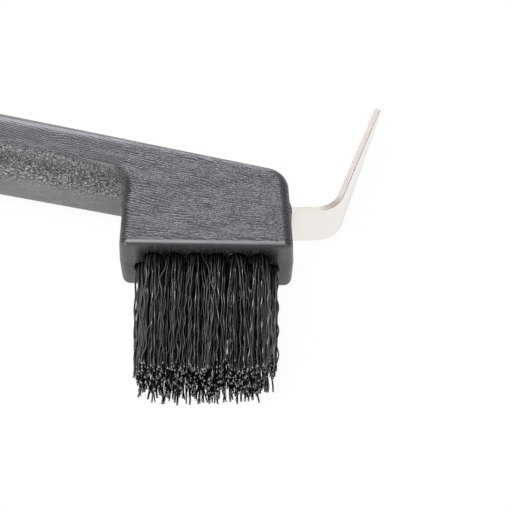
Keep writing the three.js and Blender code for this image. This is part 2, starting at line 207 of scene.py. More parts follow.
def even_noise(tree, scale, detail):
    """A noise that is equally fine in all directions, with a scale per metre."""
    made = add_node(tree, "ShaderNodeTexNoise", values={"Scale": scale, "Detail": detail})
    join(tree, *object_place(tree), made, "Vector")
    return made, "Fac"


def two_tone(tree, source, dark, pale, low=0.0, high=1.0):
    """A colour that goes from dark to pale as a value goes from low to high."""
    ramp = add_node(tree, "ShaderNodeValToRGB")
    first, last = ramp.color_ramp.elements
    first.position, last.position = low, high
    first.color, last.color = dark, pale
    join(tree, *source, ramp, "Fac")
    return ramp, "Color"


def mix_numbers(tree, share, first, second):
    """A number between two others."""
    node = add_node(tree, "ShaderNodeMix", {"data_type": "FLOAT"})
    for source, socket in ((share, "Factor"), (first, "A"), (second, "B")):
        join(tree, *source, node, socket)
    return node, "Result"


def mix_colours(tree, share, first, second, blend="MIX"):
    """A colour between two others, each of them a written colour or a (node, output) pair."""
    node = add_node(tree, "ShaderNodeMix", {"data_type": "RGBA", "blend_type": blend})
    join(tree, *share, node, "Factor")
    for source, socket in ((first, "A"), (second, "B")):
        if isinstance(source[0], bpy.types.Node):
            join(tree, *source, node, socket)
        else:
            node.inputs[socket].default_value = source
    return node, "Result"


print("noise and colour helpers ready")

# %% [markdown]
# The tool lies on a plain white table under a broad soft light. The table is a real surface, so that it
# lights the underside of the head and takes a shadow. What the camera and the reflections see of it is
# mixed with plain white by the kind of ray, which keeps the background as clean as in a catalogue
# without more light on the tool.

# %% Table
TABLE_HALF = 3.0
TABLE_WHITE = (0.9, 0.9, 0.9, 1)
CLEAN_WHITE = (1, 1, 1, 1)
CLEAN_SHARE = 0.95

corners = [(x * TABLE_HALF, y * TABLE_HALF, 0) for x, y in ((-1, -1), (1, -1), (1, 1), (-1, 1))]
table_mesh = bpy.data.meshes.new("table")
table_mesh.from_pydata(corners, [], [(0, 1, 2, 3)])
table = bpy.data.objects.new("table", table_mesh)
bpy.context.scene.collection.objects.link(table)

table_finish, tree = new_finish("white_table")
paper = add_node(tree, "ShaderNodeBsdfDiffuse", values={"Color": TABLE_WHITE})
glow = add_node(tree, "ShaderNodeEmission", values={"Color": CLEAN_WHITE, "Strength": 1.0})
rays = add_node(tree, "ShaderNodeLightPath")
seen = math_node(tree, "MAXIMUM", (rays, "Is Camera Ray"), (rays, "Is Glossy Ray"))
seen = math_node(tree, "MAXIMUM", seen, (rays, "Is Transmission Ray"))
mix = add_node(tree, "ShaderNodeMixShader")
join(tree, *math_node(tree, "MULTIPLY", seen, CLEAN_SHARE), mix, "Fac")
join(tree, paper, "BSDF", mix, 1)
join(tree, glow, "Emission", mix, 2)
join(tree, mix, "Shader", add_node(tree, "ShaderNodeOutputMaterial"), "Surface")
table_mesh.materials.append(table_finish)
print("table", 2 * TABLE_HALF, "m wide")

# %% [markdown]
# Seven soft lights do the lighting. The light box, the left box and the top box hang above and in front:
# they give the even grey of the flat side, the bright line along the rim of the bed and the pale top
# edge. The right box reaches the end at the pick. Two bluish cards stand behind, where the bright faces
# of the pick mirror them, and a low card in front lights the underside of the handle.

# %% Lights
BLUISH = (0.97, 0.97, 1.06)


def soft_light(name, place, width, depth, brightness, colour=(1, 1, 1)):
    """A rectangular soft light that faces the tool, as bright as a number of white papers."""
    data = bpy.data.lights.new(name, "AREA")
    data.shape = "RECTANGLE"
    data.color = colour
    data.size, data.size_y = width, depth
    data.energy = brightness * math.pi * width * depth
    light = bpy.data.objects.new(name, data)
    bpy.context.scene.collection.objects.link(light)
    light.visible_camera = False
    light.location = place
    light.rotation_euler = (-Vector(place)).to_track_quat("-Z", "Y").to_euler()


soft_light("light_box", (-0.03, -0.34, 0.72), 0.26, 0.90, 3.6)
soft_light("left_box", (-0.31, -0.33, 0.66), 0.36, 0.60, 5.2)
soft_light("right_box", (0.36, -0.62, 0.30), 0.50, 0.34, 1.4)
soft_light("top_box", (-0.05, 0.02, 0.80), 0.46, 0.24, 2.8)
soft_light("back_card", (-0.15, 0.55, 0.565), 0.19, 0.48, 2.7, BLUISH)
soft_light("low_card", (-0.05, 0.75, 0.26), 0.44, 0.46, 5.1, BLUISH)
soft_light("front_card", (-0.46, -0.64, 0.09), 0.50, 0.17, 6.2)

# %% [markdown]
# The room around the table is dim, a little brighter overhead than at the level of the table, which is
# why the upright corners of the head look dark. The camera sees it plain white, as it sees the table,
# and the reflections see a small share of that white.

# %% Room
SKY_BRIGHT = 0.10
SKY_LOW = 0.05
SKY_FROM, SKY_TO = 0.25, 0.8
GLOSS_SHARE = 0.08

world = bpy.data.worlds.new("surroundings")
bpy.context.scene.world = world
world.use_nodes = True
tree = world.node_tree
tree.nodes.clear()
split = add_node(tree, "ShaderNodeSeparateXYZ")
join(tree, add_node(tree, "ShaderNodeTexCoord"), "Generated", split, "Vector")
limits = {1: SKY_FROM, 2: SKY_TO, 3: SKY_LOW, 4: SKY_BRIGHT}
height = add_node(tree, "ShaderNodeMapRange", {"interpolation_type": "SMOOTHSTEP"}, limits)
join(tree, split, "Z", height, "Value")
sky = add_node(tree, "ShaderNodeBackground", values={"Color": CLEAN_WHITE})
join(tree, height, "Result", sky, "Strength")
plain = add_node(tree, "ShaderNodeBackground", values={"Color": CLEAN_WHITE, "Strength": 1.0})
rays = add_node(tree, "ShaderNodeLightPath")
seen = math_node(tree, "MULTIPLY_ADD", (rays, "Is Glossy Ray"), GLOSS_SHARE, (rays, "Is Camera Ray"))
seen = math_node(tree, "MAXIMUM", seen, (rays, "Is Transmission Ray"))
mix = add_node(tree, "ShaderNodeMixShader")
join(tree, *seen, mix, "Fac")
join(tree, sky, "Background", mix, 1)
join(tree, plain, "Background", mix, 2)
join(tree, mix, "Shader", add_node(tree, "ShaderNodeOutputWorld"), "Surface")
print("room:", world.name, "from", SKY_LOW, "to", SKY_BRIGHT)

# %% [markdown]
# Nearly every piece here is a skin over a row of closed rings. One helper makes such a skin, with its
# two ends closed by single faces, and others make a mesh object of it, turn its faces outwards and keep
# numbers on its points for the finishes.

# %% Skins over rings


def mesh_object(name, points, faces):
    """A smooth-shaded object from points in millimetres from the bed."""
    mesh = bpy.data.meshes.new(name)
    mesh.from_pydata(to_frame(points).tolist(), [], faces)
    mesh.validate()
    mesh.polygons.foreach_set("use_smooth", [True] * len(mesh.polygons))
    piece = bpy.data.objects.new(name, mesh)
    bpy.context.scene.collection.objects.link(piece)
    return piece


def skin(rings):
    """Points and faces of a closed skin over rings with equal numbers of points."""
    rings = np.asarray(rings, dtype=float)
    count, size = rings.shape[:2]
    faces = []
    for ring in range(count - 1):
        for i in range(size):
            a, b = ring * size + i, ring * size + (i + 1) % size
            faces.append((a, b, b + size, a + size))
    faces.append(tuple(reversed(range(size))))
    faces.append(tuple(range((count - 1) * size, count * size)))
    return rings.reshape(-1, 3), faces


def face_outwards(piece):
    """Turns all faces of a closed mesh to the outside."""
    work = bmesh.new()
    work.from_mesh(piece.data)
    bmesh.ops.recalc_face_normals(work, faces=work.faces)
    work.to_mesh(piece.data)
    work.free()
    return piece


def store(piece, name, values):
    """Keeps one number for each point of a mesh under a name."""
    layer = piece.data.attributes.new(name, "FLOAT", "POINT")
    layer.data.foreach_set("value", np.asarray(values, dtype=np.float32))


print("skin helpers ready")

# %% [markdown]
# The moulding starts as a slab with the outline of the tool. Each corner of the outline is an arc, and
# each edge round the flat sides has its own rounding: small along the bed, growing along the top from
# the pick to the handle, and large at the butt.

# %% Outline of the moulding
HEAD_LENGTH = 44.0
NOSE_HEIGHT = 24.15
NOSE_DRAFT = math.radians(4.0)
HEEL_DRAFT = math.radians(1.0)
HEAD_TOP_SLOPE = math.radians(14.25)
HANDLE_LENGTH = 103.0
HANDLE_ROOT_HEIGHT = 18.0
HANDLE_BUTT_HEIGHT = 21.4
HANDLE_TOP_SLOPE = math.radians(14.9)
PALM_RUN = 31.0
PALM_SLOPE = math.radians(8.5)
BED_EDGE, WALL_EDGE, GRIP_EDGE = 1.5, 2.4, 6.0
NOSE_EDGE, BROW_EDGE, PALM_EDGE = 2.5, 4.0, 8.5
BED_CORNER, NOSE_CORNER, BUTT_CORNER = 1.8, 6.5, 8.4
BROW_BEND, PALM_BEND = 150, 70

heel_x = -HEAD_LENGTH / 2
butt_x = heel_x - HANDLE_LENGTH
palm_x = butt_x + PALM_RUN


def heel_at(y):
    """Place of the head's end wall under the handle, at a height above the bed."""
    return heel_x + y * math.tan(HEEL_DRAFT)


def nose_at(y):
    """Place of the head's end wall at the pick, at a height above the bed."""
    return HEAD_LENGTH / 2 - y * math.tan(NOSE_DRAFT)


brow_y = NOSE_HEIGHT + (nose_at(NOSE_HEIGHT) - heel_x) * math.tan(HEAD_TOP_SLOPE)


def top_at(x):
    """Top edge of the handle."""
    rise = (heel_x - max(x, palm_x)) * math.tan(HANDLE_TOP_SLOPE)
    return brow_y + rise + max(palm_x - x, 0) * math.tan(PALM_SLOPE)


throat = (heel_at(brow_y - HANDLE_ROOT_HEIGHT), brow_y - HANDLE_ROOT_HEIGHT)
hand_heel = (butt_x + HANDLE_BUTT_HEIGHT * math.tan(PALM_SLOPE), top_at(butt_x) - HANDLE_BUTT_HEIGHT)


def under_at(x):
    """Underside of the handle."""
    share = (x - throat[0]) / (hand_heel[0] - throat[0])
    return throat[1] + share * (hand_heel[1] - throat[1])


OUTLINE = [  # x, y, corner radius, rounding of the edge that follows at its start and end
    (heel_x, 0, BED_CORNER, BED_EDGE, BED_EDGE),
    (HEAD_LENGTH / 2, 0, BED_CORNER, WALL_EDGE, WALL_EDGE),
    (nose_at(NOSE_HEIGHT), NOSE_HEIGHT, NOSE_CORNER, NOSE_EDGE, BROW_EDGE),
    (heel_x, brow_y, BROW_BEND, BROW_EDGE, PALM_EDGE),
    (palm_x, top_at(palm_x), PALM_BEND, PALM_EDGE, PALM_EDGE),
    (butt_x, top_at(butt_x), BUTT_CORNER, GRIP_EDGE, GRIP_EDGE),
    (*hand_heel, BUTT_CORNER, GRIP_EDGE, GRIP_EDGE),
    (*throat, BED_CORNER, WALL_EDGE, WALL_EDGE),
]
print("outline:", len(OUTLINE), "corners, from x", round(butt_x, 1), "to", HEAD_LENGTH / 2)

# %% [markdown]
# The slab is made of stacked rings. That lets the rounding change along an edge, which a plain bevel
# can't do. The end walls lean out a little to the parting line half way up, as they must in a mould
# with two halves.

# %% Slab with rounded edges
PARTING_DRAFT = math.radians(2.0)
ARC_STEP = math.radians(4)
EDGE_STEPS = 10


def rounded_outline(corners):
    """Points, outward directions and edge roundings along an outline with arcs at its corners."""
    points, outwards, edges = [], [], []
    for i, (x, y, radius, edge, _) in enumerate(corners):
        before, after = corners[i - 1], corners[(i + 1) % len(corners)]
        arrive = Vector((x - before[0], y - before[1])).normalized()
        leave = Vector((after[0] - x, after[1] - y)).normalized()
        bend = math.atan2(arrive.x * leave.y - arrive.y * leave.x, arrive.dot(leave))
        tangent = radius * math.tan(abs(bend) / 2)
        side = math.copysign(1, bend)
        first = Vector((arrive.y, -arrive.x))
        centre = Vector((x, y)) - arrive * tangent - first * side * radius
        steps = max(2, math.ceil(abs(bend) / ARC_STEP))
        for k in range(steps + 1):
            outward = Matrix.Rotation(bend * k / steps, 2) @ first
            points.append(centre + outward * side * radius)
            outwards.append(outward)
            edges.append(before[4] + (edge - before[4]) * k / steps)
    return np.array(points), np.array(outwards), np.array(edges)[:, None]


def rounded_slab(name, corners, thickness):
    """The outline raised to a thickness, edges rounded, end walls leaning out to the parting line."""
    points, outwards, edges = rounded_outline(corners)
    lean = math.tan(PARTING_DRAFT) * np.abs(outwards[:, :1])
    rings = []
    for angle in np.linspace(math.pi / 2, 0, EDGE_STEPS + 1):
        depth = edges * (1 - math.sin(angle))
        flat = points + outwards * (depth * lean - edges * (1 - math.cos(angle)))
        rings.append(np.hstack([flat, depth]))
    parting = points + outwards * lean * thickness / 2
    middle = np.hstack([parting, np.full((len(points), 1), thickness / 2)])
    front = [ring * (1, 1, -1) + (0, 0, thickness) for ring in reversed(rings)]
    return face_outwards(mesh_object(name, *skin([*rings, middle, *front])))


moulding = rounded_slab("handle_moulding", OUTLINE, THICKNESS)
print("slab:", len(moulding.data.vertices), "points")

# %% [markdown]
# A finger groove runs along both sides of the handle, under the flush strip at its top. Down the side,
# its section goes over a round shoulder, down a steep side into a hollow, along a sloping lobe and round
# under the handle. The section is built up turn by turn, as one would draw it.

# %% Section of the finger grooves
SHOULDER_RADIUS, HOLLOW_RADIUS, UNDERSIDE_ROUND = 3.2, 2.0, 4.2
SHOULDER_STEPS, HOLLOW_STEPS, UNDERSIDE_STEPS = 12, 6, 12
STEEP_ANGLE, STEEP_RUN = math.radians(50), 1.7
LOBE_ANGLE, LOBE_HEIGHT = math.radians(35), 2.6
CUT_LIFT = 0.06


def groove_section():
    """The cut down the side of the handle: distance below its start, and depth under the flat side."""
    below, depth = [0.0], [-CUT_LIFT]

    def turn(radius, start, end, steps):
        angles = np.linspace(start, end, steps + 1)
        for a, b in zip(angles[:-1], angles[1:]):
            below.append(below[-1] + radius * abs(math.sin(b) - math.sin(a)))
            depth.append(depth[-1] + radius * abs(math.cos(b) - math.cos(a)))

    def straight(height, angle):
        below.append(below[-1] + height)
        depth.append(depth[-1] + height * math.tan(angle))

    turn(SHOULDER_RADIUS, 0, STEEP_ANGLE, SHOULDER_STEPS)
    straight(STEEP_RUN * math.cos(STEEP_ANGLE), STEEP_ANGLE)
    turn(HOLLOW_RADIUS, STEEP_ANGLE, LOBE_ANGLE, HOLLOW_STEPS)
    straight(LOBE_HEIGHT, LOBE_ANGLE)
    turn(UNDERSIDE_ROUND, LOBE_ANGLE, math.pi / 2, UNDERSIDE_STEPS)
    return np.array(below), np.array(depth)


section_below, section_depth = groove_section()
print("groove:", round(section_below[-1], 1), "mm high,", round(section_depth[-1], 1), "mm deep")

# %% [markdown]
# The groove is a cut with a tool of that section. At the head the tool lifts out in a short rounded
# wall, and towards the butt it fades away slowly. A Boolean takes it out of both sides.

# %% Cut the finger grooves
GROOVE_SKIRT = 0.6
GROOVE_WALL_RUN, GROOVE_CORNER_RUN, GROOVE_FADE_RUN, BUTT_LAND = 3.4, 3.2, 34.0, 20.0
WALL_STATIONS, FADE_STATIONS = 24, 25

fade_x = butt_x + BUTT_LAND


def groove_start(x):
    """Distance from the handle's top edge to the start of the groove's shoulder."""
    return top_at(x) - under_at(x) - section_below[-1]


def groove_tool(on_front):
    """The solid that cuts one groove."""
    wall = heel_x + WALL_EDGE
    by_wall = np.linspace(wall, wall - GROOVE_WALL_RUN - GROOVE_CORNER_RUN, WALL_STATIONS)
    by_butt = np.linspace(fade_x + GROOVE_FADE_RUN, fade_x, FADE_STATIONS)
    below = np.append(section_below, section_below[-1] + GROOVE_SKIRT)
    depth = np.append(section_depth, section_depth[-1])
    foot = wall - GROOVE_CORNER_RUN * (1 - smooth(0, SHOULDER_RADIUS + LOBE_HEIGHT, below))
    rings = []
    for x in np.concatenate([by_wall, by_butt]):
        full = smooth(fade_x, fade_x + GROOVE_FADE_RUN, x) * (1 - smooth(foot - GROOVE_WALL_RUN, foot, x))
        cut = full * (depth + CUT_LIFT) - CUT_LIFT
        y = top_at(x) - groove_start(x) - np.concatenate([below, [below[-1], below[0]]])
        cut = np.concatenate([cut, [-2 * CUT_LIFT] * 2])
        rings.append(np.column_stack([np.full(len(y), x), y, THICKNESS - cut if on_front else cut]))
    return face_outwards(mesh_object("groove_tool", *skin(rings)))


def bake_modifiers(piece):
    """Replaces a piece's mesh by what its modifiers make of it."""
    graph = bpy.context.evaluated_depsgraph_get()
    made = bpy.data.meshes.new_from_object(piece.evaluated_get(graph))
    piece.modifiers.clear()
    piece.data = made


def carve(piece, tool, operation="DIFFERENCE"):
    """Cuts a tool out of a piece, or joins it on, and removes the tool."""
    step = piece.modifiers.new(operation.lower(), "BOOLEAN")
    step.operation, step.solver, step.object = operation, "EXACT", tool
    bake_modifiers(piece)
    bpy.data.objects.remove(tool)


carve(moulding, groove_tool(True))
carve(moulding, groove_tool(False))
print("grooved slab:", len(moulding.data.polygons), "faces")

# %% [markdown]
# The head is drilled for the tufts, three staggered rows of six, seven and six, and the butt has a hole
# to hang the tool by. A drill is a turned shape, so that the hanging hole can flare into a rounded rim
# on both sides.

# %% Holes
TUFTS_IN_ROW = (6, 7, 6)
TUFT_PITCH, ROW_SPACING, ROWS_SET_BACK = 5.4, 4.6, 1.2
HOLE_RADIUS, HOLE_DEPTH = 2.25, 7.5
HANG_RADIUS, HANG_INSET, HANG_FLARE = 4.0, 11.5, 1.2
RUN_OUT = 1.0
DRILL_SIDES, HANG_SIDES, FLARE_POINTS = 32, 64, 7

tuft_places = []
for row, tufts in enumerate(TUFTS_IN_ROW):
    for k in range(tufts):
        z = MIDDLE - ROWS_SET_BACK + (row - 1) * ROW_SPACING
        tuft_places.append((row, (k - (tufts - 1) / 2) * TUFT_PITCH, z))


def turned(profile, origin, axis, sides):
    """Points and faces of a turned solid from (radius, distance along its axis) pairs."""
    rings = []
    for radius, along in profile:
        angle = np.arange(sides) / sides * 2 * math.pi
        across = np.column_stack([radius * np.cos(angle), radius * np.sin(angle)])
        if axis == "y":
            rings.append(np.column_stack([across[:, 0], np.full(sides, along), across[:, 1]]) + origin)
        else:
            rings.append(np.column_stack([across, np.full(sides, along)]) + origin)
    return skin(rings)


def joined(name, parts):
    """One object from several sets of points and faces."""
    points, faces, start = [], [], 0
    for part_points, part_faces in parts:
        points.append(part_points)
        faces += [tuple(start + i for i in face) for face in part_faces]
        start += len(part_points)
    return face_outwards(mesh_object(name, np.vstack(points), faces))


drill_profile = [(HOLE_RADIUS, -RUN_OUT), (HOLE_RADIUS, 0.0), (HOLE_RADIUS, HOLE_DEPTH)]
drills = [turned(drill_profile, (x, 0, z), "y", DRILL_SIDES) for _, x, z in tuft_places]
carve(moulding, joined("drills", drills))

flare = []
for angle in np.linspace(0, math.pi / 2, FLARE_POINTS):
    flare.append((HANG_RADIUS + HANG_FLARE * (1 - math.sin(angle)), HANG_FLARE * (1 - math.cos(angle))))
hang_profile = [(HANG_RADIUS + HANG_FLARE, -RUN_OUT)] + flare
hang_profile += [(radius, THICKNESS - along) for radius, along in reversed(flare)]
hang_profile += [(HANG_RADIUS + HANG_FLARE, THICKNESS + RUN_OUT)]
hang_x = butt_x + HANG_INSET
hang_centre = (hang_x, (top_at(hang_x) + under_at(hang_x)) / 2, 0)
carve(moulding, joined("hang_drill", [turned(hang_profile, hang_centre, "z", HANG_SIDES)]))
print("drilled for", len(tuft_places), "tufts;", len(moulding.data.polygons), "faces")

# %% [markdown]
# The pick comes out of the end of the head through a slot with a small lip round it, where the plastic
# has closed on the steel. Both are boxes: the lip is joined on and the slot is cut.

# %% Lip and slot
PICK_WIDTH, PICK_THICKNESS, PICK_HEIGHT = 13.4, 1.6, 12.5
TANG_LENGTH, TANG_SLOPE = 25.0, math.radians(3.5)
LIP_MARGIN, LIP_PROUD, LIP_ROOT = 0.6, 0.5, 3
SLOT_PLAY, SLOT_RUN_OUT = 0.15, 3


def tilted_box(name, low, high, tilt, origin):
    """A box given by its corners, turned about Z by an angle and moved to a place."""
    turn = Matrix.Rotation(tilt, 3, "Z")
    rings = []
    for x in (low[0], high[0]):
        ring = [(x, low[1], low[2]), (x, high[1], low[2]), (x, high[1], high[2]), (x, low[1], high[2])]
        rings.append([turn @ Vector(p) + Vector(origin) for p in ring])
    return face_outwards(mesh_object(name, *skin(rings)))


exit_place = (nose_at(PICK_HEIGHT), PICK_HEIGHT, MIDDLE)
half_lip = PICK_WIDTH / 2 + LIP_MARGIN
lip_low = (-LIP_ROOT, -LIP_MARGIN, -half_lip)
lip_high = (LIP_PROUD, PICK_THICKNESS + LIP_MARGIN, half_lip)
carve(moulding, tilted_box("lip", lip_low, lip_high, NOSE_DRAFT, exit_place), "UNION")
half_slot = PICK_WIDTH / 2 + SLOT_PLAY
slot_low = (-TANG_LENGTH, -SLOT_PLAY, -half_slot)
slot_high = (SLOT_RUN_OUT, PICK_THICKNESS + SLOT_PLAY, half_slot)
carve(moulding, tilted_box("slot", slot_low, slot_high, TANG_SLOPE, exit_place))
print("slotted:", len(moulding.data.polygons), "faces")

# %% [markdown]
# Moulded plastic has no sharp corners. Rebuilding the skin from a fine grid of voxels and easing it a
# little softens every edge by the same small amount, as a mould does, and gives an even mesh.

# %% Soften the moulding
VOXEL = 0.30 * MM
EASE_SHARE, EASE_ROUNDS = 0.5, 3


def keep_inside(piece):
    """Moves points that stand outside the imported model's box, by hundredths of a millimetre, onto it."""
    for point in piece.data.vertices:
        point.co = [min(max(v, low), high) for v, low, high in zip(point.co, cad_low, cad_high)]


rebuild = moulding.modifiers.new("rebuild", "REMESH")
rebuild.mode, rebuild.voxel_size, rebuild.use_smooth_shade = "VOXEL", VOXEL, True
ease = moulding.modifiers.new("ease", "SMOOTH")
ease.factor, ease.iterations = EASE_SHARE, EASE_ROUNDS
bake_modifiers(moulding)
keep_inside(moulding)
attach(moulding, "root")
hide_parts("handle_body")
print("moulding:", len(moulding.data.polygons), "faces")

# %% [markdown]
# The finish of the moulding changes from place to place: a wood grain on the flat sides and the top, a
# hammered texture in the finger grooves, and smooth plastic on the bed and under the handle. Two numbers
# stored on each point of the mesh say how much of the grain and of the hammering shows there. They come
# from soft steps in place and in the direction that the surface faces.

# %% Where each texture shows
HEAD_BLEND = (-1.0, 1.2)
PITS_AT_HEAD, PITS_RISE, PITS_LEAST, PITS_BLEND = 2.6, 0.1, 0.4, (-0.5, 1.3)
BED_FACING, BED_BAND = (0.82, 0.95), (1.2, 1.9)
UNDER_FACING, UNDER_SHARE, UNDER_GRAIN = (0.66, 0.985), 0.80, 0.35
TOP_FACING, TOP_LOSS, HANDLE_LOSS = (0.06, 0.34), 0.4, 0.45

points = np.empty(len(moulding.data.vertices) * 3)
moulding.data.vertices.foreach_get("co", points)
at_x, at_y, at_z = (points.reshape(-1, 3) / MM + (0, REST_HEIGHT, 0)).T
normals = np.empty(len(moulding.data.vertices) * 3)
moulding.data.vertices.foreach_get("normal", normals)
facing_up = normals.reshape(-1, 3)[:, 1]

below_top = np.array([top_at(x) - y for x, y in zip(at_x, at_y)])
below_start = below_top - np.array([groove_start(x) for x in at_x])
on_handle = 1 - smooth(*HEAD_BLEND, at_x - heel_x)
pits_from = np.maximum(PITS_AT_HEAD - PITS_RISE * (heel_x - at_x), PITS_LEAST)
in_groove = on_handle * smooth(*PITS_BLEND, below_start - pits_from)
in_groove *= smooth(fade_x, fade_x + GROOVE_FADE_RUN, at_x)
on_bed = (1 - on_handle) * smooth(*BED_FACING, -facing_up)
near_bed = (1 - on_handle) * (1 - smooth(*BED_BAND, at_y))
past_lobe = UNDER_SHARE * on_handle * smooth(*UNDER_FACING, -facing_up)
top_edge = smooth(*TOP_FACING, facing_up)
smooth_plastic = np.maximum(np.maximum(on_bed, near_bed), past_lobe)
hammered = np.sqrt(in_groove) * (1 - smooth_plastic)
grained = np.sqrt(1 - in_groove) * (1 - smooth_plastic)
grained *= (1 - TOP_LOSS * top_edge) * (1 - HANDLE_LOSS * on_handle)
grained += UNDER_GRAIN * past_lobe
store(moulding, "grained", grained)
store(moulding, "hammered", hammered)
print("grained", round(float(grained.mean()), 2), "hammered", round(float(hammered.mean()), 2))

# %% [markdown]
# Three more numbers follow. The plastic is rougher in the grooves and under the handle, and painted paler
# there, as painted light; in the hollow and near the head less so, as painted shade. Round the holes the
# bed is painted dark, as painted shade from the bristles. The lines of the grain rise slowly
# towards the pick and fan out over the head, so the distance across the grain is stored as well.

# %% Dull places with painted light and shade, painted shade round the tufts, and the run of the grain
# The hollow and the run near the head take painted shade off the painted light of the dull places.
HOLLOW_STARTS, HOLLOW_ENDS, HOLLOW_PAINTED_SHADE = (2.3, 3.2), (4.3, 5.6), 0.5
HEAD_SHADE_RUN, UNDER_HEAD_SHADE, HEAD_PAINTED_SHADE = (-36, -24), 0.45, 0.3
UNDER_DULL_AND_LIGHT = 0.85
# Reach and height of the painted shade on the bed round the tuft holes.
SHADE_REACH, SHADE_HEIGHT = (0.3, 4.0), (0.2, 1.4)
GRAIN_SLOPE, GRAIN_TURN = math.tan(math.radians(16)), 0.9
FAN_LEAST, FAN_HEIGHT = 0.45, 22

hollow = smooth(*HOLLOW_STARTS, below_start) * (1 - smooth(*HOLLOW_ENDS, below_start))
near_head_shade = smooth(*HEAD_SHADE_RUN, at_x)
under_dull_and_painted_light = UNDER_DULL_AND_LIGHT * past_lobe * (1 - UNDER_HEAD_SHADE * near_head_shade)
# Painted light: paler plastic in the grooves and under the handle; painted shade: less of it in the hollow
# and near the head.
dull_and_painted_light = np.maximum(in_groove * (1 - HOLLOW_PAINTED_SHADE * hollow), under_dull_and_painted_light) * (1 - HEAD_PAINTED_SHADE * near_head_shade)
from_centres = [np.hypot(at_x - x, at_z - z) for _, x, z in tuft_places]
to_hole = np.min(from_centres, axis=0) - HOLE_RADIUS
# Painted shade on the bed round the tuft holes, where the bristles shade it.
painted_tuft_shade = (1 - smooth(*SHADE_REACH, to_hole)) * (1 - smooth(*SHADE_HEIGHT, at_y))
fan = FAN_LEAST + (1 - FAN_LEAST) * smooth(0, FAN_HEIGHT, at_y)
across = at_y + GRAIN_TURN * at_z + GRAIN_SLOPE * fan * at_x
store(moulding, "dull_and_painted_light", dull_and_painted_light)
store(moulding, "painted_tuft_shade", painted_tuft_shade)
store(moulding, "across", across)
print("dull_and_painted_light", round(float(dull_and_painted_light.mean()), 2), "shaded_round_tufts", round(float(painted_tuft_shade.mean()), 3))

# %% [markdown]
# The grain is a wave across the handle, bent by two noises so that its lines waver, fork and break off
# as in sawn wood, and fading in and out in patches, with flecks and pores between. The grooves have
# round dents and thin folds instead. All of it works as a bump, because in a mould such a texture is
# only some hundredths of a millimetre deep.

# %% Relief of the moulding
GRAIN_PITCH = 0.66
GRAIN_DEPTH = 0.000072
DENT_DEPTH = 1.5
SLOW_BEND, QUICK_BEND = 2.6, 0.55
# Stretch of each noise, per millimetre: along and across the grain, or along X, Y and Z.
SLOW, QUICK, PATCHES, PORES = (0.10, 0.22, 1), (0.5, 1.0, 1), (0.2, 0.5, 1), (0.55, 1.3, 1)
FLECKS, DENTS, FOLDS = (1.2, 2.6, 2.6), (1.7, 2.2, 2.2), (0.8, 1.5, 1.5)

plastic, tree = new_finish("grained_plastic")
shader = add_surface(tree, {"Specular IOR Level": 0.75})
millimetres = add_node(tree, "ShaderNodeVectorMath", {"operation": "SCALE"}, {"Scale": 1 / MM})
join(tree, *object_place(tree), millimetres, 0)
place = (millimetres, "Vector")
split = add_node(tree, "ShaderNodeSeparateXYZ")
join(tree, *place, split, "Vector")
combined = add_node(tree, "ShaderNodeCombineXYZ")
join(tree, split, "X", combined, "X")
join(tree, *stored(tree, "across"), combined, "Y")
grain_place = (combined, "Vector")

slow = noise(tree, grain_place, SLOW, Detail=1.0)
quick = noise(tree, grain_place, QUICK, Detail=2.0, Roughness=0.6)
bent = math_node(tree, "MULTIPLY_ADD", slow, SLOW_BEND, stored(tree, "across"))
bent = math_node(tree, "MULTIPLY_ADD", quick, QUICK_BEND, bent)
wave = math_node(tree, "SINE", math_node(tree, "MULTIPLY", bent, 2 * math.pi / GRAIN_PITCH))
patches = spread(tree, noise(tree, grain_place, PATCHES, Detail=2.0), 0.36, 0.62, 0.30, 0.60)
flecks = spread(tree, noise(tree, place, FLECKS, Detail=1.5), 0.3, 0.7, -0.30, 0.30)
pores = spread(tree, noise(tree, grain_place, PORES, Detail=1.0), 0.62, 0.74, 0.55, 0.0)
grain = math_node(tree, "ADD", math_node(tree, "MULTIPLY", wave, patches), flecks)
grain = math_node(tree, "ADD", grain, pores)

dents = noise(tree, place, DENTS, Detail=2.0, Roughness=0.6, Distortion=0.5)
dents = spread(tree, dents, 0.38, 0.62, -0.25, 0.68)
folds = noise(tree, place, FOLDS, Detail=2.0, Roughness=0.6, Distortion=0.8)
folds = math_node(tree, "ABSOLUTE", math_node(tree, "SUBTRACT", folds, 0.5))
folds = spread(tree, folds, 0.0, 0.055, -0.40, 0.48)
dents = math_node(tree, "ADD", dents, folds)

grained_here, hammered_here = stored(tree, "grained"), stored(tree, "hammered")
grain_part = math_node(tree, "MULTIPLY", grain, grained_here)
dent_part = math_node(tree, "MULTIPLY", dents, hammered_here)
relief = math_node(tree, "MULTIPLY_ADD", dent_part, DENT_DEPTH, grain_part)
bump = add_node(tree, "ShaderNodeBump", values={"Strength": 1.0, "Distance": GRAIN_DEPTH})
join(tree, *relief, bump, "Height")
join(tree, bump, "Normal", shader, "Normal")
print("relief:", len(tree.nodes), "nodes")

# %% [markdown]
# Dark grey moulded plastic. The low parts of the texture are painted darker than the raised ones, as
# painted shade, and are rougher; the smooth plastic has faint streaks from the flow in the mould. The dull
# places are rougher and painted lighter, as painted light, and round the tufts the plastic is painted
# dark, as painted shade, with a few pale specks of swarf from the drilling.

# %% Colour and gloss of the moulding
PLASTIC_DARK = (0.006, 0.006, 0.008, 1)
PLASTIC_PALE = (0.063, 0.062, 0.071, 1)
# Painted light for the grooves and the underside of the handle.
PAINTED_LIGHT_TINT = (3.7, 3.65, 3.3, 1)
# Painted shade for the bed round the tufts.
TUFT_SHADE_COLOUR = (0.004, 0.004, 0.0045, 1)
SWARF_PALE = (0.30, 0.30, 0.31, 1)
STREAKS, SPECKS = (0.12, 0.9, 1.3), (2.4, 2.4, 2.4)

textured = math_node(tree, "ADD", grained_here, hammered_here)
streaks = spread(tree, noise(tree, place, STREAKS, Detail=2.0), 0.34, 0.66, 0.54, 0.90)
